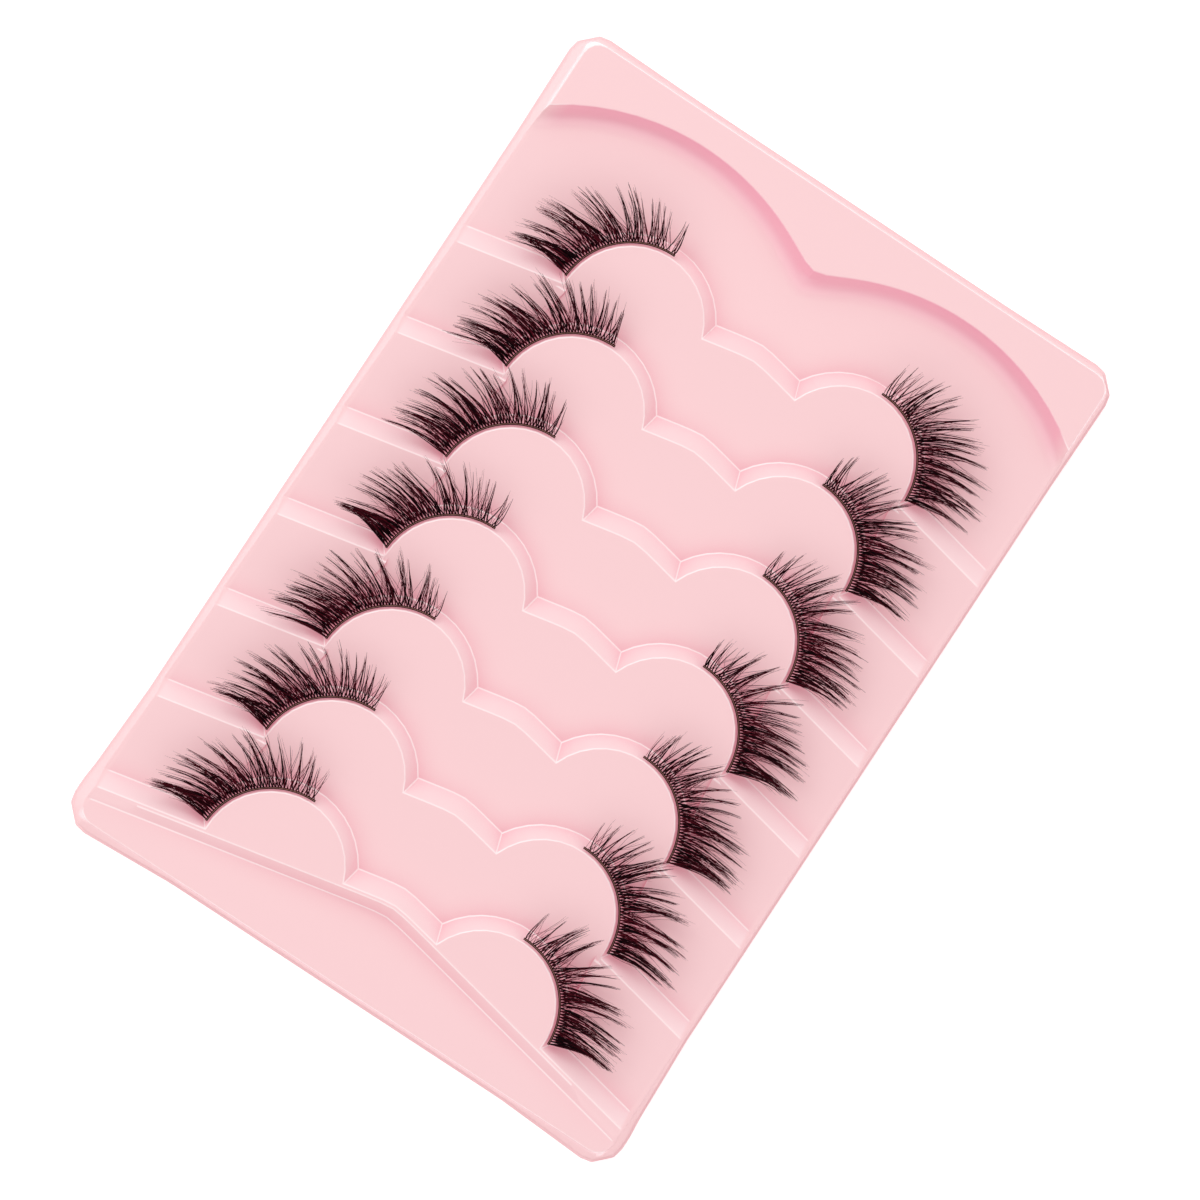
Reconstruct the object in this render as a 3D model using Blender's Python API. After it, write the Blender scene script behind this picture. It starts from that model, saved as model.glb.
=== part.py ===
# Display tray with seven pairs of half false eyelash strips.
# Thermoformed plastic tray lying flat: header panel with a heart shaped step, seven
# tilted terraces with two round seats each, and a footer panel. Every seat carries
# one strip: a thin cotton band with its lashes fanned out towards the header.
# Frame: +X across the tray, +Y towards the header, +Z up, base of the rim at Z = 0.

import math

import bmesh
import bpy

for old in list(bpy.data.objects):
    bpy.data.objects.remove(old, do_unlink=True)

MM = 0.001
DEG = math.pi / 180.0

# Tray sheet and outline
TRAY_WIDTH = 110.0 * MM
SHEET = 0.5 * MM
RIM_WIDTH = 0.5 * MM
WALL_DRAFT = 8.0 * DEG
HEADER_CORNER = 4.4 * MM
FOOTER_CORNER = 3.8 * MM
HEADER_FLARE = 0.25 * MM
FOOTER_FLARE = 0.9 * MM
FLARE_REACH = 16.0 * MM

# Heights above the surface that the tray rests on
HEADER_HEIGHT = 10.0 * MM
SEAT_HEIGHT = 9.6 * MM
WELL_HEIGHT = 5.4 * MM
FOOTER_HEIGHT = 5.0 * MM

# Fall of the terraces and of the well below the heart step, towards the footer
TERRACE_TILT = 11.3 * DEG
WELL_TILT = 5.0 * DEG

# Heart shaped step below the header panel
HEADER_DEPTH = 6.9 * MM
HEART_RISE = 8.6 * MM
HEART_RUN = 4.4 * MM
NOTCH_ROUNDING = 2.0 * MM
HEART_TO_SEAT = 31.5 * MM

# Terraces and seats
ROWS = 7
ROW_PITCH = 18.45 * MM
SEAT_RADIUS = 12.7 * MM
SEAT_SPACING = 42.8 * MM
SEAT_SLOPE_RUN = 2.25 * MM
STEP_SLOPE_RUN = 3.2 * MM
STEP_TO_SEAT = 6.0 * MM
CHEVRON_ANGLE = 11.8 * DEG
PEAK_ROUNDING = 1.6 * MM

# Footer step
RIDGE_SHARE = 1.1
RIDGE_SPARE = 0.12 * MM
FOOTER_SLOPE_RUN = 1.8 * MM
FOOTER_MARGIN = 0.3 * MM

# Lash strips
SEAT_GAP = 0.3 * MM
BAND_WIDTH = 0.4 * MM
BAND_HEIGHT = 0.65 * MM
BAND_ABOVE_SEAT = 0.35 * MM
BAND_START_ANGLE = -1.0 * DEG
BAND_END_ANGLE = 88.0 * DEG
BAND_GAP = 0.25 * MM
ROOT_WIDTH = 0.4 * MM
ROOT_HEIGHT = 0.5 * MM
LASH_LENGTH = 12.2 * MM
LASH_RISE = 2.2 * MM
LASH_TIP = 0.16 * MM
LOCKS = 12

# Points along each terrace line, from the centre line to a side wall
CENTRE_STEPS = 4
SEAT_STEPS = 16
CORNER_STEPS = 4
SIDE_STEPS = CORNER_STEPS + 1
BAND_STEPS = 10

# Heart step from its crest down to the floor: share of the run, share of the drop
HEART_SECTIONS = (
    (0.00, 0.00),
    (0.22, 0.58),
    (0.48, 0.87),
    (0.74, 0.97),
    (1.00, 1.00),
)

# Fan of the lashes from the inner to the outer end of the band:
# share of the band, share of the lash length, lean from the radius, further bend
LASH_FAN = (
    (0.00, 0.44, 2.0, 4.0),
    (0.17, 0.66, 3.0, 10.0),
    (0.34, 0.80, 3.0, 21.0),
    (0.50, 0.92, 9.0, 30.0),
    (0.67, 1.00, 7.0, 35.0),
    (0.85, 0.97, -4.0, 39.0),
    (1.00, 0.97, -19.0, 42.0),
)

# Sections of a lock: share of its length, share of its root width
LOCK_SECTIONS = (
    (0.40, 1.00),
    (0.75, 0.84),
    (1.00, 0.12),
)

DRAFT = math.tan(WALL_DRAFT)
TERRACE_SLOPE = math.tan(TERRACE_TILT)
WELL_SLOPE = math.tan(WELL_TILT)
TINY = 1e-7
HALF_BASE = TRAY_WIDTH / 2 - RIM_WIDTH
SEAT_X = SEAT_SPACING / 2
FIRST_SEAT = HEADER_DEPTH + HEART_TO_SEAT
SEAT_MIDDLE_HEIGHT = SEAT_HEIGHT - TERRACE_SLOPE * SEAT_RADIUS
RIDGE_WIDTH = SHEET * RIDGE_SHARE + RIDGE_SPARE
BAND_ANGLE = BAND_END_ANGLE - BAND_START_ANGLE
BAND_INSIDE = SEAT_RADIUS + SEAT_GAP + BAND_GAP
BAND_MIDDLE_Z = BAND_ABOVE_SEAT - BAND_HEIGHT / 2
ROOT_INSIDE = BAND_INSIDE + BAND_WIDTH + BAND_GAP


def wall_x(height):
    # Half width of the tray at a height, inside its drafted side walls.
    return HALF_BASE - DRAFT * height


def chevron(x):
    # How far a terrace line falls back towards the footer beside the centre line.
    return math.tan(CHEVRON_ANGLE) * (math.hypot(x, PEAK_ROUNDING) - PEAK_ROUNDING)


def meeting_angle(peak, seat, radius, side):
    # Angle from the top of a seat to where its circle meets the straight terrace line.
    near, far = 0.0, 2.1
    for _ in range(40):
        middle = (near + far) / 2
        x = SEAT_X + side * radius * math.sin(middle)
        if seat - radius * math.cos(middle) < peak + chevron(x):
            near = middle
        else:
            far = middle
    return side * near


def terrace_height(row):
    # Height of a row's tilted plane, as a function of the distance from the header edge.
    seat = FIRST_SEAT + row * ROW_PITCH
    return lambda v: SEAT_MIDDLE_HEIGHT - TERRACE_SLOPE * (v - seat)


def well_height(v):
    # Height of the well's tilted floor, named where the first seat's slope meets it.
    return WELL_HEIGHT - WELL_SLOPE * (v - FIRST_SEAT + SEAT_RADIUS + SEAT_SLOPE_RUN)


def side_end(line, height_at):
    # Where a line, falling or rising on its way, meets the drafted side wall.
    x = HALF_BASE
    for _ in range(6):
        x = wall_x(height_at(line(x)))
    return x


def terrace_half(peak, seat, radius, height_at):
    # Right half of a terrace line as (x, distance from the header edge, height) points.
    def straight(x):
        return peak + chevron(x)

    edge_x = side_end(straight, height_at)
    inner = meeting_angle(peak, seat, radius, -1)
    outer = meeting_angle(peak, seat, radius, 1)
    arc = []
    for step in range(SEAT_STEPS + 1):
        angle = inner + (outer - inner) * step / SEAT_STEPS
        arc.append((SEAT_X + radius * math.sin(angle), seat - radius * math.cos(angle)))
    places = []
    for step in range(CENTRE_STEPS):
        x = arc[0][0] * step / CENTRE_STEPS
        places.append((x, straight(x)))
    places.extend(arc)
    start_x = arc[-1][0]
    for step in range(1, SIDE_STEPS + 1):
        x = start_x + (edge_x - start_x) * step / SIDE_STEPS
        places.append((x, straight(x)))
    return [(x, v, height_at(v)) for x, v in places]


def level_columns(half):
    # Places across a terrace line, evenly spread over the seat so that they never turn back.
    start, end = half[CENTRE_STEPS][0], half[-1 - SIDE_STEPS][0]
    seat = [start + (end - start) * step / SEAT_STEPS for step in range(SEAT_STEPS + 1)]
    return [point[0] for point in half[:CENTRE_STEPS]] + seat


def line_half(columns, line, height_at):
    # Right half of a line across the tray, with its last steps spread up to the side wall.
    start_x, edge_x = columns[-1], side_end(line, height_at)
    sides = [start_x + (edge_x - start_x) * step / SIDE_STEPS for step in range(1, SIDE_STEPS + 1)]
    return [(x, line(x), height_at(line(x))) for x in columns + sides]


def heart_half(columns, run_share, drop_share):
    # Right half of a line of the heart step, offset from its crest by a share of the run.
    crest_x = wall_x(HEADER_HEIGHT) / 2
    radius = (crest_x**2 + HEART_RISE**2) / (2 * HEART_RISE)
    centre = HEADER_DEPTH + radius
    reach = radius - HEART_RUN * run_share

    def arc(x):
        across = math.hypot(x, NOTCH_ROUNDING) - crest_x
        return centre - math.sqrt(reach**2 - across**2)

    def height_at(v):
        return HEADER_HEIGHT + (well_height(v) - HEADER_HEIGHT) * drop_share

    return line_half(columns, arc, height_at)


def edge_half(columns, height, radius, edge, inward):
    # Right half of the header or footer edge, ending round its corner.
    # The radius is that of the corner at the foot of the wall.
    turn = radius - DRAFT * height
    side = wall_x(height)
    straight = edge + inward * (RIM_WIDTH + DRAFT * height)
    points = [(x, straight, height) for x in columns]
    for step in range(CORNER_STEPS + 1):
        angle = 90 * DEG * step / CORNER_STEPS
        points.append((
            side - turn + turn * math.sin(angle),
            straight + inward * turn * (1 - math.cos(angle)),
            height,
        ))
    return points


def whole_line(half):
    # A line from the left wall to the right wall, from its right half.
    return [(-x, v, z) for x, v, z in half[:0:-1]] + half


def tray_lines():
    # All lines of the tray's upper face, header first, and where the footer edge lies.
    below = well_height
    lines = []
    for row in range(ROWS):
        seat = FIRST_SEAT + row * ROW_PITCH
        peak = seat - STEP_TO_SEAT
        foot = terrace_half(peak - STEP_SLOPE_RUN, seat, SEAT_RADIUS + SEAT_SLOPE_RUN, below)
        crest = terrace_half(peak, seat, SEAT_RADIUS, terrace_height(row))
        lines += [foot, crest]
        below = terrace_height(row)
    columns = level_columns(lines[0])
    heart = [heart_half(columns, run, drop) for run, drop in HEART_SECTIONS]
    header = edge_half(columns, HEADER_HEIGHT, HEADER_CORNER, 0.0, 1)
    columns = level_columns(lines[-1])
    ridge = line_half(columns, lambda x: peak + RIDGE_WIDTH + chevron(x), below)
    step_foot = line_half(
        columns,
        lambda x: peak + RIDGE_WIDTH + FOOTER_SLOPE_RUN + chevron(x),
        lambda v: FOOTER_HEIGHT,
    )
    edge = step_foot[-1][1] + FOOTER_MARGIN + FOOTER_CORNER + RIM_WIDTH
    footer = edge_half(columns, FOOTER_HEIGHT, FOOTER_CORNER, edge, -1)
    lines = [header] + heart + lines + [ridge, step_foot, footer]
    return [whole_line(half) for half in lines], edge


def outline_normal(x, v):
    # Outward direction of the tray's outline at a point of the upper face's border.
    for edge, inward, corner in ((0.0, 1, HEADER_CORNER), (TRAY_EDGE, -1, FOOTER_CORNER)):
        past_x = abs(x) - (HALF_BASE - corner)
        past_v = (edge + inward * (RIM_WIDTH + corner) - v) * inward
        if past_x > TINY and past_v > TINY:
            length = math.hypot(past_x, past_v)
            return (math.copysign(past_x / length, x), -inward * past_v / length)
        if past_v > TINY:
            return (0.0, -inward)
    return (math.copysign(1.0, x), 0.0)


def flare_at(x, v):
    # How far the foot of the wall stands out near the tray's corners.
    widest = 0.0
    for edge, inward, corner, flare in (
        (0.0, 1, HEADER_CORNER, HEADER_FLARE),
        (TRAY_EDGE, -1, FOOTER_CORNER, FOOTER_FLARE),
    ):
        centre_v = edge + inward * (RIM_WIDTH + corner)
        distance = math.hypot(abs(x) - (HALF_BASE - corner), v - centre_v) - corner
        share = 1 - min(max(distance, 0.0) / FLARE_REACH, 1.0)
        widest = max(widest, flare * share**2)
    return widest


def border_places():
    # (line, point) numbers once round the border: header, right side, footer, left side.
    last, end = len(TRAY_LINES) - 1, len(TRAY_LINES[0]) - 1
    places = [(0, k) for k in range(end + 1)]
    places += [(line, end) for line in range(1, last + 1)]
    places += [(last, k) for k in range(end - 1, -1, -1)]
    places += [(line, 0) for line in range(last - 1, 0, -1)]
    return places


def wall_loops():
    # Foot of the outer wall below each border point, and the rim's outer edge beside it.
    feet, rims = [], []
    for line, k in BORDER:
        x, v, height = TRAY_LINES[line][k]
        out_x, out_v = outline_normal(x, v)
        reach = DRAFT * height + flare_at(x, v)
        feet.append((x + out_x * reach, v + out_v * reach))
        rims.append((x + out_x * (reach + RIM_WIDTH), v + out_v * (reach + RIM_WIDTH)))
    # Each corner of the base is cut straight across its middle.
    last, end = len(TRAY_LINES) - 1, len(TRAY_LINES[0]) - 1
    halfway = CORNER_STEPS // 2
    for corner in ((0, halfway), (0, end - halfway), (last, halfway), (last, end - halfway)):
        middle = BORDER.index(corner)
        for loop in (feet, rims):
            before, after = loop[middle - 1], loop[middle + 1]
            loop[middle] = ((before[0] + after[0]) / 2, (before[1] + after[1]) / 2)
    return feet, rims


TRAY_LINES, TRAY_EDGE = tray_lines()
BORDER = border_places()
WALL_FEET, RIM_EDGE = wall_loops()
CENTRE_V = (min(v for _, v in RIM_EDGE) + max(v for _, v in RIM_EDGE)) / 2


def new_object(name, mesh, material, location=(0.0, 0.0, 0.0)):
    piece = bpy.data.objects.new(name, mesh)
    bpy.context.collection.objects.link(piece)
    piece.location = location
    if not mesh.materials:
        mesh.materials.append(material)
    return piece


def new_material(name, colour, roughness):
    material = bpy.data.materials.new(name)
    material.use_nodes = True
    shader = material.node_tree.nodes["Principled BSDF"]
    shader.inputs["Base Color"].default_value = (*colour, 1.0)
    shader.inputs["Roughness"].default_value = roughness
    shader.inputs["Metallic"].default_value = 0.0
    return material


def finished_mesh(name, shape, smooth_angle):
    # A mesh with its faces pointing out, round faces shaded smooth.
    bmesh.ops.recalc_face_normals(shape, faces=shape.faces)
    mesh = bpy.data.meshes.new(name)
    shape.to_mesh(mesh)
    shape.free()
    mesh.shade_smooth()
    mesh.set_sharp_from_angle(angle=smooth_angle)
    return mesh


def build_tray(material):
    shape = bmesh.new()
    rows = [
        [shape.verts.new((x, CENTRE_V - v, height)) for x, v, height in points]
        for points in TRAY_LINES
    ]
    for upper, lower in zip(rows, rows[1:]):
        for k in range(len(upper) - 1):
            shape.faces.new((upper[k], lower[k], lower[k + 1], upper[k + 1]))
    border = [rows[line][k] for line, k in BORDER]
    feet = [shape.verts.new((x, CENTRE_V - v, SHEET)) for x, v in WALL_FEET]
    rims = [shape.verts.new((x, CENTRE_V - v, SHEET)) for x, v in RIM_EDGE]
    for k in range(len(border)):
        n = (k + 1) % len(border)
        shape.faces.new((border[k], border[n], feet[n], feet[k]))
        shape.faces.new((feet[k], feet[n], rims[n], rims[k]))
    shape.normal_update()
    if rows[0][0].link_faces[0].normal.z < 0:
        bmesh.ops.reverse_faces(shape, faces=shape.faces)
    mesh = bpy.data.meshes.new("tray")
    shape.to_mesh(mesh)
    shape.free()
    mesh.shade_smooth()
    mesh.set_sharp_from_angle(angle=24 * DEG)
    tray = new_object("tray", mesh, material)
    wall = tray.modifiers.new("sheet thickness", "SOLIDIFY")
    wall.thickness = SHEET
    wall.offset = -1.0
    wall.use_even_offset = True
    wall.use_rim = True
    return tray


def fan_values(share):
    # Length share, lean and bend of the lashes at a share of the band.
    for low, high in zip(LASH_FAN, LASH_FAN[1:]):
        if share <= high[0]:
            mix = (share - low[0]) / (high[0] - low[0])
            return [a + (b - a) * mix for a, b in zip(low[1:], high[1:])]
    return list(LASH_FAN[-1][1:])


def seat_point(angle, radius, side):
    # Point beside a seat, at an angle from its top towards the outer side.
    return (side * radius * math.sin(angle), radius * math.cos(angle))


def section(shape, centre, across, width, height):
    # Four corners of a small rectangle, standing on the tilted plane of its seat.
    corners = []
    for a, b in ((-1, -1), (1, -1), (1, 1), (-1, 1)):
        x = centre[0] + across[0] * a * width / 2
        y = centre[1] + across[1] * a * width / 2
        corners.append(shape.verts.new((x, y, centre[2] + b * height / 2 + TERRACE_SLOPE * y)))
    return corners


def join_sections(shape, first, second):
    for k in range(4):
        n = (k + 1) % 4
        shape.faces.new((first[k], first[n], second[n], second[k]))


def band_mesh(name, side):
    shape = bmesh.new()
    sections = []
    for step in range(BAND_STEPS + 1):
        angle = BAND_START_ANGLE + BAND_ANGLE * step / BAND_STEPS
        x, y = seat_point(angle, BAND_INSIDE + BAND_WIDTH / 2, side)
        across = seat_point(angle, 1.0, side)
        sections.append(section(shape, (x, y, BAND_MIDDLE_Z), across, BAND_WIDTH, BAND_HEIGHT))
    for first, second in zip(sections, sections[1:]):
        join_sections(shape, first, second)
    shape.faces.new(sections[0])
    shape.faces.new(sections[-1])
    return finished_mesh(name, shape, 30 * DEG)


def lash_mesh(name, side):
    # Knotted root strip with one tapered, curved lock standing out of each part of it.
    shape = bmesh.new()
    roots = []
    for step in range(LOCKS + 1):
        angle = BAND_START_ANGLE + BAND_ANGLE * step / LOCKS
        x, y = seat_point(angle, ROOT_INSIDE + ROOT_WIDTH / 2, side)
        across = seat_point(angle, 1.0, side)
        roots.append(section(shape, (x, y, BAND_MIDDLE_Z), across, ROOT_WIDTH, ROOT_HEIGHT))
    shape.faces.new(roots[0])
    shape.faces.new(roots[-1])
    for lock in range(LOCKS):
        first, second = roots[lock], roots[lock + 1]
        for k in (0, 2, 3):
            n = (k + 1) % 4
            shape.faces.new((first[k], first[n], second[n], second[k]))
        share = (lock + 0.5) / LOCKS
        angle = BAND_START_ANGLE + BAND_ANGLE * share
        length_share, lean, bend = fan_values(share)
        length = LASH_LENGTH * length_share
        x, y = seat_point(angle, ROOT_INSIDE + ROOT_WIDTH, side)
        root_width = 2 * (ROOT_INSIDE + ROOT_WIDTH) * math.sin(BAND_ANGLE / LOCKS / 2)
        loop = [first[1], second[1], second[2], first[2]]
        done = 0.0
        for length_mark, width_share in LOCK_SECTIONS:
            middle = (done + length_mark) / 2
            heading = angle + (lean + bend * middle) * DEG
            run = length * (length_mark - done)
            x += side * run * math.sin(heading)
            y += run * math.cos(heading)
            end_heading = angle + (lean + bend * length_mark) * DEG
            across = (side * math.cos(end_heading), -math.sin(end_heading))
            width = root_width * width_share
            height = ROOT_HEIGHT + (LASH_TIP - ROOT_HEIGHT) * length_mark
            z = BAND_MIDDLE_Z + LASH_RISE * length_share * length_mark**1.4
            tip = section(shape, (x, y, z), across, width, height)
            join_sections(shape, loop, tip)
            loop = tip
            done = length_mark
        shape.faces.new(loop)
    return finished_mesh(name, shape, 40 * DEG)


pink_plastic = new_material("pink plastic", (0.92, 0.63, 0.64), 0.38)
cotton_thread = new_material("black cotton thread", (0.010, 0.008, 0.009), 0.75)
lash_fibre = new_material("black lash fibre", (0.020, 0.008, 0.009), 0.45)

build_tray(pink_plastic)
for side_name, side in (("left", -1), ("right", 1)):
    band = band_mesh("band_" + side_name, side)
    lashes = lash_mesh("lashes_" + side_name, side)
    for row in range(ROWS):
        seat_y = CENTRE_V - FIRST_SEAT - row * ROW_PITCH
        place = (side * SEAT_X, seat_y, SEAT_MIDDLE_HEIGHT)
        new_object(f"band_{row + 1}_{side_name}", band, cotton_thread, place)
        new_object(f"lashes_{row + 1}_{side_name}", lashes, lash_fibre, place)
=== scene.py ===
# False eyelash strips in a pink display tray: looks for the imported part.
# Lengths in metres unless a name says otherwise, angles in degrees.
import math

import bpy
import numpy as np
from mathutils import Matrix, Vector


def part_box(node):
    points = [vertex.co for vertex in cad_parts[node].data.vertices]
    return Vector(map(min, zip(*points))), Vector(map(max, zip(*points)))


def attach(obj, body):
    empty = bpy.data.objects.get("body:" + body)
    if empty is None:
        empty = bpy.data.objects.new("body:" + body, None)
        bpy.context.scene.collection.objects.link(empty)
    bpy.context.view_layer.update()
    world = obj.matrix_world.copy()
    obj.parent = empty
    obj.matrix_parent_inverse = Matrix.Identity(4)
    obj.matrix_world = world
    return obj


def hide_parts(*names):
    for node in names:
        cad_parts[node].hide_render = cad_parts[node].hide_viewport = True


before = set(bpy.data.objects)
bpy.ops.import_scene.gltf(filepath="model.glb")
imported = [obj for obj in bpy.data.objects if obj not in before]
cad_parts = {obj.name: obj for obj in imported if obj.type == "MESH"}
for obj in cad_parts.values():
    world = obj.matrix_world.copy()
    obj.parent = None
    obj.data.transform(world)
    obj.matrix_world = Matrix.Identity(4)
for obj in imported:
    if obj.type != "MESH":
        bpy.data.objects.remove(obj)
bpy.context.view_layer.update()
mm = 0.001
sides = ((-1, "left"), (1, "right"))
print("frame loaded:", len(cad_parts), "nodes")


def deselect():
    if bpy.context.object and bpy.context.object.mode != "OBJECT":
        bpy.ops.object.mode_set(mode="OBJECT")
    bpy.ops.object.select_all(action="DESELECT")


def activate(piece):
    deselect()
    piece.select_set(True)
    bpy.context.view_layer.objects.active = piece


def applyModifiers(piece):
    activate(piece)
    for modifier in list(piece.modifiers):
        bpy.ops.object.modifier_apply(modifier=modifier.name)


def setMaterial(piece, material):
    piece.data.materials.clear()
    piece.data.materials.append(material)


def addPiece(name, mesh):
    piece = bpy.data.objects.new(name, mesh)
    bpy.context.collection.objects.link(piece)
    return piece


def declare(piece, solid):
    # a rigid piece that is shown in place of one solid of the frame
    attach(piece, "root")
    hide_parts(solid)


def principled(name, color, roughness, **values):
    material = bpy.data.materials.new(name)
    material.use_nodes = True
    shader = material.node_tree.nodes["Principled BSDF"]
    shader.inputs["Base Color"].default_value = (*color, 1)
    shader.inputs["Roughness"].default_value = roughness
    for socket, value in values.items():
        shader.inputs[socket.replace("_", " ")].default_value = value
    return material


def addMath(nodes, links, operation, *terms):
    # each term is a number or a socket
    step = nodes.new("ShaderNodeMath")
    step.operation = operation
    for socket, term in zip(step.inputs, terms):
        if isinstance(term, (int, float)):
            socket.default_value = term
        else:
            links.new(term, socket)
    return step.outputs[0]


def addRange(nodes, links, value, low, high):
    # 0 at low, 1 at high
    step = nodes.new("ShaderNodeMapRange")
    step.inputs["From Min"].default_value = low
    step.inputs["From Max"].default_value = high
    links.new(value, step.inputs["Value"])
    return step.outputs["Result"]


def addBlend(nodes, links, share, first, second):
    # first and second are fixed colours or sockets
    step = nodes.new("ShaderNodeMix")
    step.data_type = "RGBA"
    links.new(share, step.inputs["Factor"])
    for socket, color in ((step.inputs["A"], first), (step.inputs["B"], second)):
        if isinstance(color, tuple):
            socket.default_value = (*color, 1)
        else:
            links.new(color, socket)
    return step.outputs["Result"]


def addSplit(nodes, links, vector):
    step = nodes.new("ShaderNodeSeparateXYZ")
    links.new(vector, step.inputs[0])
    return step.outputs


def ownValue(nodes, name):
    step = nodes.new("ShaderNodeAttribute")
    step.attribute_name = name
    return step.outputs["Fac"]


def storeValue(mesh, name, values):
    attribute = mesh.attributes.new(name, "FLOAT", "POINT")
    attribute.data.foreach_set("value", values.astype(np.float32))


# Tray: a copy of the formed sheet with its creases rounded, as a heated sheet draws over its mould
trayLook = {
    "color": (0.62, 0.53, 0.52),
    "glow": (0.28, 0.06, 0.09),  # painted glow: emission that lightens and pinkens the shade, standing in for light that comes up through the thin pink sheet
    "shadeColor": (0.60, 0.33, 0.40),  # the heart step, which faces away from the light
    "shadeFacing": (-0.12, -0.92),  # how far a face is turned to the footer: none and full shade
    "litColor": (0.64, 0.60, 0.59),  # the risers, which face it
    "litFacing": (0.2, 0.6),
    "hollowShadeColor": (0.58, 0.30, 0.35),  # painted shade in close corners and on the sheet under the hair
    "hollowReach": 4.5 * mm,
    "hollowOpenness": (0.35, 0.92),
    "hollowSamples": 6,
    "creaseHighlightColor": (0.68, 0.69, 0.67),  # painted highlight: the sheet is paler where it shines along its creases
    "roughness": 0.24,
    "shine": 0.5,  # on the open sheet, and none on the outer walls
    "rippleScale": 160,
    "rippleDetail": 2,
    "rippleStrength": 0.05,
    "rippleDepth": 0.2 * mm,
    "weldReach": 0.01 * mm,
    "flatAngle": 0.4,
    "creaseRadius": 0.22 * mm,
    "creaseSteps": 3,
    "creaseAngle": 26,
    "normalWeight": 80,
    "heartFoot": 57.4 * mm,
    "heartHead": 77.0 * mm,
    "halfWidth": 51.0 * mm,
    "wallX": 53.4 * mm,
    "wallY": 79.2 * mm,
    "wallBlend": 0.5 * mm,
}


def openSheet(nodes, links, place):
    # 1 within the tray, 0 on its outer walls and rim
    spot = addSplit(nodes, links, place)
    across = addMath(nodes, links, "ABSOLUTE", spot["X"])
    along = addMath(nodes, links, "ABSOLUTE", spot["Y"])
    wallX, wallY, blend = trayLook["wallX"], trayLook["wallY"], trayLook["wallBlend"]
    across = addRange(nodes, links, across, wallX, wallX - blend)
    along = addRange(nodes, links, along, wallY, wallY - blend)
    return addMath(nodes, links, "MULTIPLY", across, along)


def sheetToneWithPaintedLight(nodes, links, within):
    # painted shade, a deeper pink, down the heart step and in close corners; painted light, paler, on
    # the risers; painted highlights along the creases
    surface = nodes.new("ShaderNodeNewGeometry")
    facing = addSplit(nodes, links, surface.outputs["Normal"])["Y"]
    slope = addRange(nodes, links, facing, *trayLook["shadeFacing"])
    shade = addMath(nodes, links, "MULTIPLY", slope, ownValue(nodes, "heart"))
    lit = addRange(nodes, links, facing, *trayLook["litFacing"])
    tone = addBlend(nodes, links, lit, trayLook["color"], trayLook["litColor"])
    # painted shade: a deeper pink where ambient occlusion finds the sheet closed in
    hollow = nodes.new("ShaderNodeAmbientOcclusion")
    hollow.samples = trayLook["hollowSamples"]
    hollow.inputs["Distance"].default_value = trayLook["hollowReach"]
    openness = addRange(nodes, links, hollow.outputs["AO"], *trayLook["hollowOpenness"])
    tone = addBlend(nodes, links, openness, trayLook["hollowShadeColor"], tone)
    tone = addBlend(nodes, links, shade, tone, trayLook["shadeColor"])
    tone = addBlend(nodes, links, within, trayLook["color"], tone)
    # painted highlight along the rounded creases within the tray
    crease = addMath(nodes, links, "MULTIPLY", ownValue(nodes, "crease"), within)
    return addBlend(nodes, links, crease, tone, trayLook["creaseHighlightColor"])


def trayMaterial():
    # painted glow: the sheet's emission keeps its shade light and pink
    material = principled(
        "pinkSheet", trayLook["color"], trayLook["roughness"],
        Emission_Color=(*trayLook["glow"], 1), Emission_Strength=1,
    )
    nodes, links = material.node_tree.nodes, material.node_tree.links
    shader = nodes["Principled BSDF"]
    place = nodes.new("ShaderNodeTexCoord").outputs["Object"]
    within = openSheet(nodes, links, place)
    shine = addMath(nodes, links, "MULTIPLY", within, trayLook["shine"])
    ripple = nodes.new("ShaderNodeTexNoise")  # faint unevenness of the drawn sheet
    ripple.inputs["Scale"].default_value = trayLook["rippleScale"]
    ripple.inputs["Detail"].default_value = trayLook["rippleDetail"]
    bump = nodes.new("ShaderNodeBump")
    bump.inputs["Strength"].default_value = trayLook["rippleStrength"]
    bump.inputs["Distance"].default_value = trayLook["rippleDepth"]
    links.new(place, ripple.inputs["Vector"])
    links.new(ripple.outputs["Fac"], bump.inputs["Height"])
    links.new(sheetToneWithPaintedLight(nodes, links, within), shader.inputs["Base Color"])
    links.new(shine, shader.inputs["Specular IOR Level"])
    links.new(bump.outputs["Normal"], shader.inputs["Normal"])
    return material


def markSheet(mesh):
    # where the creases and the heart step are, for the material's painted crease highlights and
    # heart-step shade
    corners = np.empty(len(mesh.vertices) * 3, dtype=np.float32)
    mesh.vertices.foreach_get("co", corners)
    across, along, _ = corners.reshape(-1, 3).T
    plain = np.zeros(len(mesh.vertices), dtype=bool)
    for face in mesh.polygons:
        if face.material_index == 0:
            plain[list(face.vertices)] = True
    heart = (along > trayLook["heartFoot"]) & (along < trayLook["heartHead"])
    heart &= np.abs(across) < trayLook["halfWidth"]
    storeValue(mesh, "crease", ~plain & ~heart)
    storeValue(mesh, "heart", heart)
    mesh.polygons.foreach_set("material_index", [0] * len(mesh.polygons))


def joinFlatFaces(piece):
    activate(piece)
    bpy.ops.object.mode_set(mode="EDIT")
    bpy.ops.mesh.select_all(action="SELECT")
    bpy.ops.mesh.remove_doubles(threshold=trayLook["weldReach"])
    bpy.ops.mesh.dissolve_limited(angle_limit=math.radians(trayLook["flatAngle"]))
    bpy.ops.object.mode_set(mode="OBJECT")
    bpy.ops.object.shade_smooth()


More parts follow.
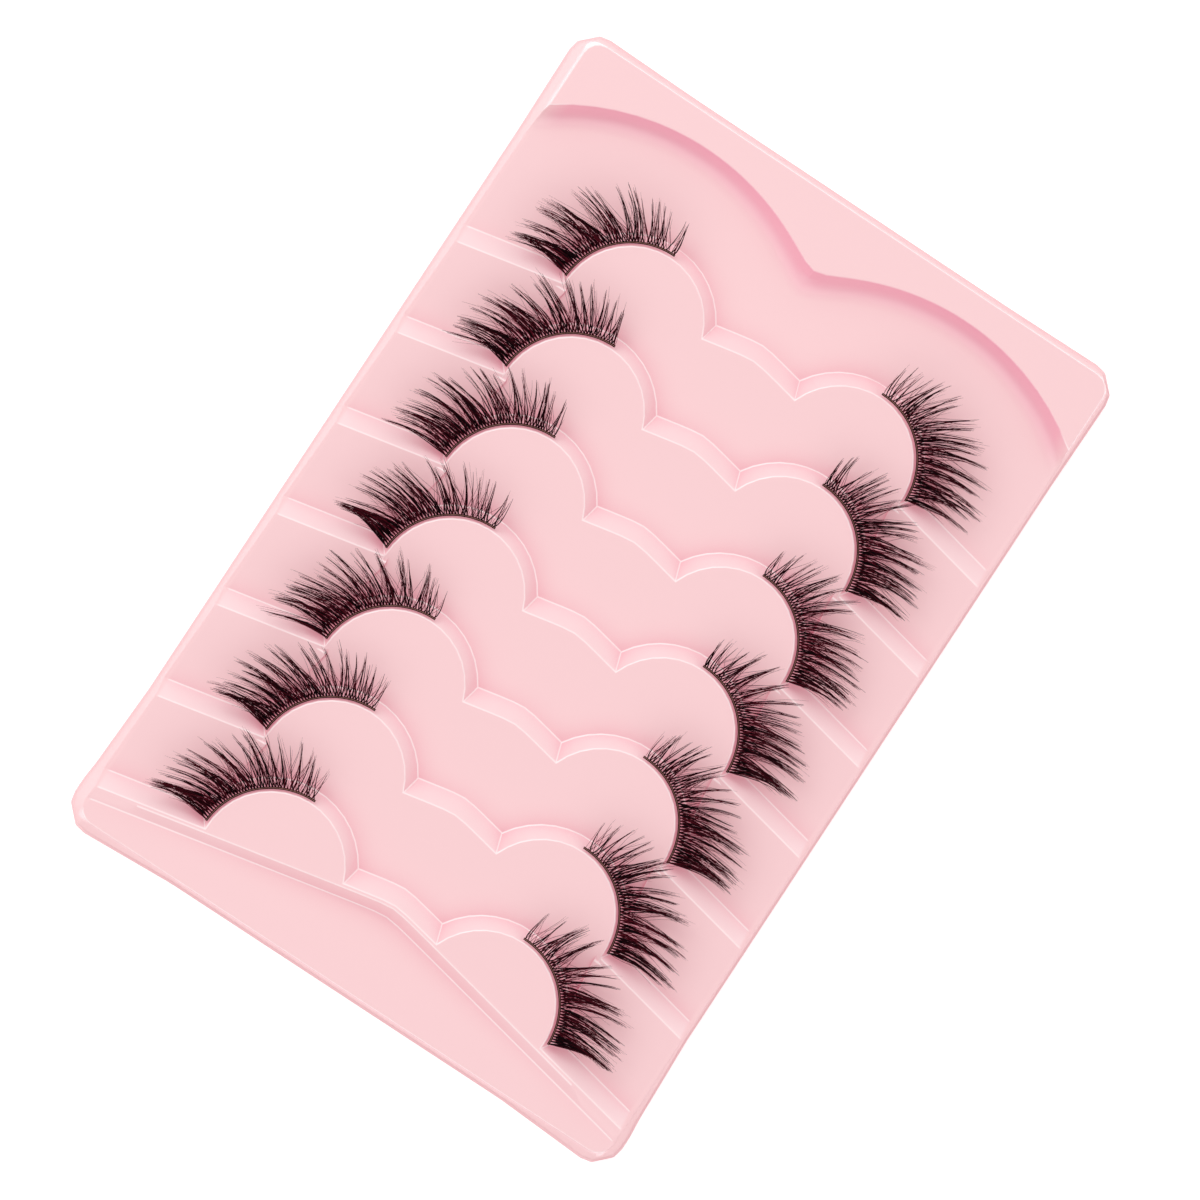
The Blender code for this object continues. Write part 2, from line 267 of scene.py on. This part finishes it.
def roundCreases(piece):
    # the rounded faces take a slot of their own until markSheet has read it
    for _ in range(2):
        piece.data.materials.append(None)
    crease = piece.modifiers.new("crease", "BEVEL")
    crease.width = trayLook["creaseRadius"]
    crease.segments = trayLook["creaseSteps"]
    crease.limit_method = "ANGLE"
    crease.angle_limit = math.radians(trayLook["creaseAngle"])
    crease.use_clamp_overlap = False
    crease.material = 1
    evenNormals = piece.modifiers.new("evenNormals", "WEIGHTED_NORMAL")
    evenNormals.mode = "FACE_AREA"
    evenNormals.weight = trayLook["normalWeight"]
    applyModifiers(piece)


def dressTray():
    piece = addPiece("traySheet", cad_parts["tray"].data.copy())
    joinFlatFaces(piece)
    roundCreases(piece)
    markSheet(piece.data)
    setMaterial(piece, trayMaterial())
    declare(piece, "tray")
    print("tray:", len(piece.data.polygons), "faces")


dressTray()

# Seats as the frame has them: every strip sits round the outer quarter of its own seat
seats = {
    "rows": 7,
    "spacing": 42.8 * mm,
    "pitch": 18.45 * mm,
    "middleHeight": 7.062 * mm,
    "tilt": 11.3,
    "bandTop": 13.65 * mm,  # from a seat's middle to the outer face of its band's solid
}
seats["firstY"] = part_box("band_1_right")[1][1] - seats["bandTop"]
rootRadius = 13.43 * mm  # where the hair leaves the band
bandStart, bandEnd = -1, 88


def seatCentre(row, side):
    return Vector((
        side * seats["spacing"] / 2,
        seats["firstY"] - (row - 1) * seats["pitch"],
        seats["middleHeight"],
    ))


def layOnSeat(mesh, row, side):
    # from a flat right-hand strip round the origin to its own tilted seat
    lean = Matrix.Identity(4)
    lean[2][1] = math.tan(math.radians(seats["tilt"]))
    mirror = Matrix.Diagonal((side, 1, 1, 1))
    mesh.transform(Matrix.Translation(seatCentre(row, side)) @ lean @ mirror)
    if side < 0:
        mesh.flip_normals()


# Lashes: every knot sends strong hairs crossing over to the wisps beside it, straight ones too
# towards the outer end, and finer ones between
lashLook = {
    "seed": 7,
    "knots": 42,
    "wisps": 25,
    "wispJitter": 0.3,
    "wispReach": 0.05,
    "wispTurn": 4.0,
    "length": 12.0 * mm,
    "rise": 2.2 * mm,
    "riseShare": (0.75, 1.08),
    "risePower": 1.4,
    "rootLift": (-0.25 * mm, 0.3 * mm),
    "crossing": 24,
    "outerUncrossing": 0.6,
    "rings": 8,
    "sides": 3,
    "taper": 1.7,
    "color": (0.006, 0.002, 0.003),
    # fineColor: partly the fine hairs' own reddish brown, partly painted shade, the dark pink of the
    # shaded sheet between the hairs
    "fineColor": (0.17, 0.012, 0.026),
    "finePaleness": 0.8,
    "tipPaleness": 0.2,
    "roughness": 0.6,
    "shine": 0.02,
}
# a chance is given at the inner end, with its growth towards the outer end
strongHair = {
    "leans": (-1, 0.2, 1),  # two cross over, one goes nearly straight
    "crossingChance": (0.55, 1),
    "straightChance": (-0.5, 1.6),
    "leanShare": (0.6, 1.3),
    "reach": (0.86, 1.04),
    "spread": 0.12,
    "thickness": (0.8, 1.1),
    "root": 0.14 * mm,
    "tip": 0.028 * mm,
}
fineHair = {
    "perKnot": 5,
    "innerFullness": 0.3,
    "fullFrom": 0.45,
    "extraFullness": 0.2,
    "extraFrom": 0.55,
    "lean": 0.9,
    "wispSteps": (-2, 2),
    "shortShare": 0.3,
    "shortReach": (0.42, 0.8),
    "reach": (0.8, 1.08),
    "spread": (0.08, 0.45),
    "thickness": (0.7, 1.2),
    "fineness": (0.3, 1),
    "root": 0.05 * mm,
    "tip": 0.014 * mm,
}
# share of a hair's length or bend at the points that its curve is drawn from
hairCurve = {
    "middle": 0.55,
    "middleBend": 0.25,
    "tip": 0.45,
    "tipBend": 0.85,
    "rootArm": 0.28,
    "rootLean": 0.8,
    "tipArm": 0.36,
    "tipArmBend": 0.95,
}
# share of the band, share of the lash length, then for the left and the right strips the lean
# from the radius and the further bend
fanTable = np.array((
    (0.00, 0.44, 6, 4, -2, 4),
    (0.17, 0.66, 2, 12, 3, 12),
    (0.34, 0.80, 9, 21, -1, 18),
    (0.50, 0.92, 10, 32, 8, 28),
    (0.67, 1.00, 9, 36, 4, 34),
    (0.85, 0.97, -1, 40, -8, 38),
    (1.00, 0.97, -17, 43, -24, 42),
))


def fanAt(share, column):
    return np.interp(share, fanTable[:, 0], fanTable[:, column])


def headings(angle):
    # unit vectors in the seat's plane, angle from its top towards the outer side
    return np.stack([np.sin(angle), np.cos(angle)], axis=-1)


def fullnessAt(share):
    inner = fineHair["innerFullness"]
    grown = min(1, share / fineHair["fullFrom"])
    return inner + (1 - inner) * grown + fineHair["extraFullness"] * (share > fineHair["extraFrom"])


def strongHairs(rng, share, beside, last):
    for lean in strongHair["leans"]:
        chance, growth = strongHair["crossingChance" if abs(lean) == 1 else "straightChance"]
        if rng.random() > chance + growth * share:
            continue
        wisp = min(max(beside - (lean < 0), 0), last)
        reach = rng.uniform(*strongHair["reach"])
        crossing = lean * rng.uniform(*strongHair["leanShare"])
        thickness = rng.uniform(*strongHair["thickness"])
        yield share, wisp, reach, crossing, strongHair["spread"], thickness, 0.0


def fineHairs(rng, share, beside, last):
    for _ in range(int(fineHair["perKnot"] * fullnessAt(share) + rng.random())):
        wisp = min(max(beside + rng.integers(*fineHair["wispSteps"]), 0), last)
        short = rng.random() < fineHair["shortShare"]
        reach = rng.uniform(*fineHair["shortReach" if short else "reach"])
        crossing = rng.normal(0, fineHair["lean"])
        spread = rng.uniform(*fineHair["spread"])
        thickness = rng.uniform(*fineHair["thickness"])
        yield share, wisp, reach, crossing, spread, thickness, rng.uniform(*fineHair["fineness"])


def chooseHairs(rng):
    # one row for each hair: knot share, wisp number, reach, crossing, tip spread, thickness, fineness
    wisps, knots, jitter = lashLook["wisps"], lashLook["knots"], lashLook["wispJitter"]
    wispShare = (np.arange(wisps) + 0.5 + rng.uniform(-jitter, jitter, wisps)) / wisps
    hairs = []
    for knot in range(knots):
        share = (knot + 0.5) / knots
        beside = int(np.searchsorted(wispShare, share))
        hairs += strongHairs(rng, share, beside, wisps - 1)
        hairs += fineHairs(rng, share, beside, wisps - 1)
    return np.array(hairs), wispShare


def lashPaths(rng, side):
    # centre lines, thickness and fineness of all hairs of a right-hand strip round the origin
    look, curve = lashLook, hairCurve
    hairs, wispShare = chooseHairs(rng)
    share, wisp, reach, crossing, spread, thickness, fineness = hairs.T
    wisp = wisp.astype(int)
    number = len(hairs)
    wispReach = 1 + rng.normal(0, look["wispReach"], look["wisps"])
    wispTurn = rng.normal(0, look["wispTurn"], look["wisps"])
    target = wispShare[wisp]
    span = math.radians(bandEnd - bandStart)
    rootAngle = math.radians(bandStart) + span * share
    wispAngle = math.radians(bandStart) + span * target
    length = (look["length"] * fanAt(target, 1) * reach * wispReach[wisp])[:, None]
    ownLean = np.radians(fanAt(target, 2 if side < 0 else 4))
    bend = np.radians(fanAt(target, 3 if side < 0 else 5))
    lean = ownLean + np.radians(wispTurn[wisp])
    root = headings(rootAngle) * rootRadius
    start = headings(wispAngle) * rootRadius
    toMiddle = headings(wispAngle + lean + bend * curve["middleBend"])
    toTip = headings(wispAngle + lean + bend * curve["tipBend"])
    middle = start + toMiddle * (length * curve["middle"])
    tip = middle + toTip * (length * curve["tip"])
    tip = tip + rng.normal(0, 1, (number, 2)) * (spread * mm)[:, None]
    crossTurn = crossing * look["crossing"] * (1 - look["outerUncrossing"] * share)
    rootLean = lean * curve["rootLean"] + np.radians(crossTurn)
    rootHeading = headings(rootAngle + rootLean)
    tipHeading = headings(wispAngle + ownLean + bend * curve["tipArmBend"])
    first = root + rootHeading * (length * curve["rootArm"])
    last = tip - tipHeading * (length * curve["tipArm"])
    s = np.linspace(0, 1, look["rings"])[None, :, None]
    flat = (
        (1 - s)**3 * root[:, None]
        + 3 * (1 - s)**2 * s * first[:, None]
        + 3 * (1 - s) * s**2 * last[:, None]
        + s**3 * tip[:, None]
    )
    lift = look["rise"] * fanAt(target, 1) * reach * rng.uniform(*look["riseShare"], number)
    rootLift = rng.uniform(*look["rootLift"], number)
    height = rootLift[:, None] + lift[:, None] * s[0, :, 0] ** look["risePower"]
    return np.concatenate([flat, height[:, :, None]], axis=2), thickness, fineness


def strandMesh(name, paths, thickness, fineness):
    # one mesh of thin tapered tubes, one for each centre line
    number, rings, _ = paths.shape
    corners = lashLook["sides"]
    along = np.gradient(paths, axis=1)
    along /= np.linalg.norm(along, axis=2, keepdims=True)
    across = np.cross(along, (0, 0, 1))
    across /= np.linalg.norm(across, axis=2, keepdims=True)
    upward = np.cross(across, along)
    s = np.linspace(0, 1, rings)
    fine = (fineness > 0)[:, None]
    root = np.where(fine, fineHair["root"], strongHair["root"]) * thickness[:, None]
    tip = np.where(fine, fineHair["tip"], strongHair["tip"])
    radius = root + (tip - root) * s[None, :] ** lashLook["taper"]
    turn = np.arange(corners) * 2 * math.pi / corners
    ring = (
        np.cos(turn)[None, None, :, None] * across[:, :, None]
        + np.sin(turn)[None, None, :, None] * upward[:, :, None]
    )
    points = paths[:, :, None] + ring * radius[:, :, None, None]
    index = np.arange(number * rings * corners).reshape(number, rings, corners)
    following = np.roll(index, -1, axis=2)
    quads = np.stack(
        [index[:, :-1], index[:, 1:], following[:, 1:], following[:, :-1]], axis=-1
    ).reshape(-1, 4)
    caps = np.concatenate([index[:, 0], index[:, -1, ::-1]])
    mesh = bpy.data.meshes.new(name)
    mesh.from_pydata(points.reshape(-1, 3), [], quads.tolist() + caps.tolist())
    tone = fineness[:, None] * lashLook["finePaleness"] + lashLook["tipPaleness"] * s[None, :] ** 2
    storeValue(mesh, "paleness", np.repeat(np.clip(tone, 0, 1).ravel(), corners))
    mesh.shade_smooth()
    return mesh


def lashMaterial():
    material = principled(
        "lashFibre", lashLook["color"], lashLook["roughness"], Specular_IOR_Level=lashLook["shine"],
    )
    nodes, links = material.node_tree.nodes, material.node_tree.links
    ramp = nodes.new("ShaderNodeValToRGB")
    ramp.color_ramp.elements[0].color = (*lashLook["color"], 1)
    ramp.color_ramp.elements[1].color = (*lashLook["fineColor"], 1)
    links.new(ownValue(nodes, "paleness"), ramp.inputs["Fac"])
    links.new(ramp.outputs["Color"], nodes["Principled BSDF"].inputs["Base Color"])
    return material


def addLashes():
    material = lashMaterial()
    faces = 0
    for row in range(1, seats["rows"] + 1):
        for side, sideName in sides:
            rng = np.random.default_rng(100 * row + side + lashLook["seed"])
            name = f"lashHairs_{row}_{sideName}"
            mesh = strandMesh(name, *lashPaths(rng, side))
            layOnSeat(mesh, row, side)
            piece = addPiece(name, mesh)
            setMaterial(piece, material)
            declare(piece, f"lashes_{row}_{sideName}")
            faces += len(mesh.polygons)
    print("lashes:", faces, "faces")


addLashes()

# Bands: two black threads with a thin pale brown one laid between them
bandLook = {
    "steps": 40,
    "sides": 8,
    "threadRadius": 0.085 * mm,
    "fillRadius": 0.045 * mm,
    "cottonColor": (0.012, 0.004, 0.004),
    "cottonRoughness": 0.8,
    "cottonShine": 0.02,
    "fillColor": (0.30, 0.13, 0.10),
    "fillRoughness": 0.3,
}


def spunThread(name, radius, thickness, height, material):
    # a thread round the seat at the origin, spun from a small circle
    deselect()
    start = math.radians(90 - bandStart)
    bpy.ops.mesh.primitive_circle_add(
        vertices=bandLook["sides"],
        radius=thickness,
        fill_type="NGON",
        location=(radius * math.cos(start), radius * math.sin(start), height),
        rotation=(math.radians(90), 0, start),
    )
    thread = bpy.context.active_object
    thread.name = name
    bpy.ops.object.transform_apply(location=True, rotation=True, scale=True)
    bpy.ops.object.mode_set(mode="EDIT")
    bpy.ops.mesh.select_all(action="SELECT")
    bpy.ops.mesh.spin(
        steps=bandLook["steps"],
        angle=math.radians(bandEnd - bandStart),
        center=(0, 0, 0),
        axis=(0, 0, 1),
    )
    bpy.ops.mesh.select_all(action="SELECT")
    bpy.ops.mesh.normals_make_consistent(inside=False)
    bpy.ops.object.mode_set(mode="OBJECT")
    bpy.ops.object.shade_smooth()
    setMaterial(thread, material)
    return thread


def modelBand():
    cotton = principled(
        "blackCotton", bandLook["cottonColor"], bandLook["cottonRoughness"],
        Specular_IOR_Level=bandLook["cottonShine"],
    )
    fill = principled("clearThread", bandLook["fillColor"], bandLook["fillRoughness"])
    # radius round the seat, thickness, height above the seat's plane, finish
    threads = (
        (13.24 * mm, bandLook["threadRadius"], 0.05 * mm, cotton),
        (13.48 * mm, bandLook["threadRadius"], 0.08 * mm, cotton),
        (13.36 * mm, bandLook["fillRadius"], 0.12 * mm, fill),
    )
    parts = [spunThread(f"thread{k}", *thread) for k, thread in enumerate(threads)]
    deselect()
    for part in parts:
        part.select_set(True)
    bpy.context.view_layer.objects.active = parts[0]
    bpy.ops.object.join()
    return parts[0]


def addBands():
    model = modelBand()
    for row in range(1, seats["rows"] + 1):
        for side, sideName in sides:
            mesh = model.data.copy()
            layOnSeat(mesh, row, side)
            piece = addPiece(f"lashBand_{row}_{sideName}", mesh)
            declare(piece, f"band_{row}_{sideName}")
    bpy.data.objects.remove(model, do_unlink=True)
    print("bands: done")


addBands()

# Setting: pale floor, soft light, and the photograph's long lens almost straight above
setting = {
    "floorSize": 6,
    "floorColor": (0.95, 0.95, 0.945),
    "floorRoughness": 0.8,
    "floorGlow": 0.3,
    "skyStrength": 1.22,
    "horizonGlow": 0.5,
    "zenithGlow": 0.3,
    "keyPower": 5.5,
    "keyTurn": 30,
    "keySize": 0.8,
    "keyDistance": 1.3,
    "keyHeight": 54,
    "cameraDistance": 1.2,
    "cameraSensor": 36,
    "cameraLens": 211.3,
    "cameraClip": (0.01, 50),
    "cameraTiltX": -3.6,
    "cameraTiltY": -1.5,
    "cameraRoll": 33.36,
    "cameraTarget": (0.72 * mm, 0.28 * mm, 4 * mm),
}
# sine of the height in the sky, glow: full from 22 to 53 degrees up
skyRing = (
    (0.28, setting["horizonGlow"]),
    (0.38, 1),
    (0.80, 1),
    (0.87, setting["zenithGlow"]),
    (1.00, setting["zenithGlow"]),
)


def cameraAxes():
    back = Vector((
        math.tan(math.radians(setting["cameraTiltX"])),
        math.tan(math.radians(setting["cameraTiltY"])),
        1,
    )).normalized()
    right = Vector((0, 1, 0)).cross(back).normalized()
    up = back.cross(right)
    roll = math.radians(setting["cameraRoll"])
    return (
        math.cos(roll) * right + math.sin(roll) * up,
        math.cos(roll) * up - math.sin(roll) * right,
        back,
    )


def addCamera():
    bpy.ops.object.camera_add()
    camera = bpy.context.active_object
    right, up, back = cameraAxes()
    place = Vector(setting["cameraTarget"]) + back * setting["cameraDistance"]
    turn = Matrix((right, up, back)).transposed().to_4x4()
    camera.matrix_world = Matrix.Translation(place) @ turn
    camera.data.sensor_width = setting["cameraSensor"]
    camera.data.lens = setting["cameraLens"]
    camera.data.clip_start, camera.data.clip_end = setting["cameraClip"]
    bpy.context.scene.camera = camera


def addFloor():
    deselect()
    bpy.ops.mesh.primitive_plane_add(size=setting["floorSize"])
    floor = bpy.context.active_object
    floor.name = "floor"
    setMaterial(floor, principled(
        "paleFloor", setting["floorColor"], setting["floorRoughness"],
        Emission_Color=(1, 1, 1, 1), Emission_Strength=setting["floorGlow"],
    ))


def addSky():
    world = bpy.data.worlds.new("studio")
    bpy.context.scene.world = world
    world.use_nodes = True
    nodes, links = world.node_tree.nodes, world.node_tree.links
    sky = nodes["Background"]
    sky.inputs["Strength"].default_value = setting["skyStrength"]
    place = nodes.new("ShaderNodeTexCoord")
    ramp = nodes.new("ShaderNodeValToRGB")
    stops = ramp.color_ramp.elements
    stops[0].position = skyRing[0][0]
    stops[1].position = skyRing[-1][0]
    for position, _ in skyRing[1:-1]:
        stops.new(position)
    for stop, (_, glow) in zip(stops, skyRing):
        stop.color = (glow, glow, glow, 1)
    links.new(addSplit(nodes, links, place.outputs["Generated"])["Z"], ramp.inputs["Fac"])
    links.new(ramp.outputs["Color"], sky.inputs["Color"])


def addKeyLight():
    right, up, _ = cameraAxes()
    height = math.radians(setting["keyHeight"])
    turn = math.radians(setting["keyTurn"])
    level = up * math.cos(turn) - right * math.sin(turn)
    direction = (level * math.cos(height) + Vector((0, 0, 1)) * math.sin(height)).normalized()
    bpy.ops.object.light_add(type="AREA")
    key = bpy.context.active_object
    key.name = "keyLight"
    key.data.shape = "DISK"
    key.data.size = setting["keySize"]
    key.data.energy = setting["keyPower"]
    key.matrix_world = (
        Matrix.Translation(direction * setting["keyDistance"])
        @ direction.to_track_quat("Z", "Y").to_matrix().to_4x4()
    )


bpy.context.scene.view_settings.view_transform = "Standard"
addFloor()
addSky()
addKeyLight()
addCamera()
print("setting: done")
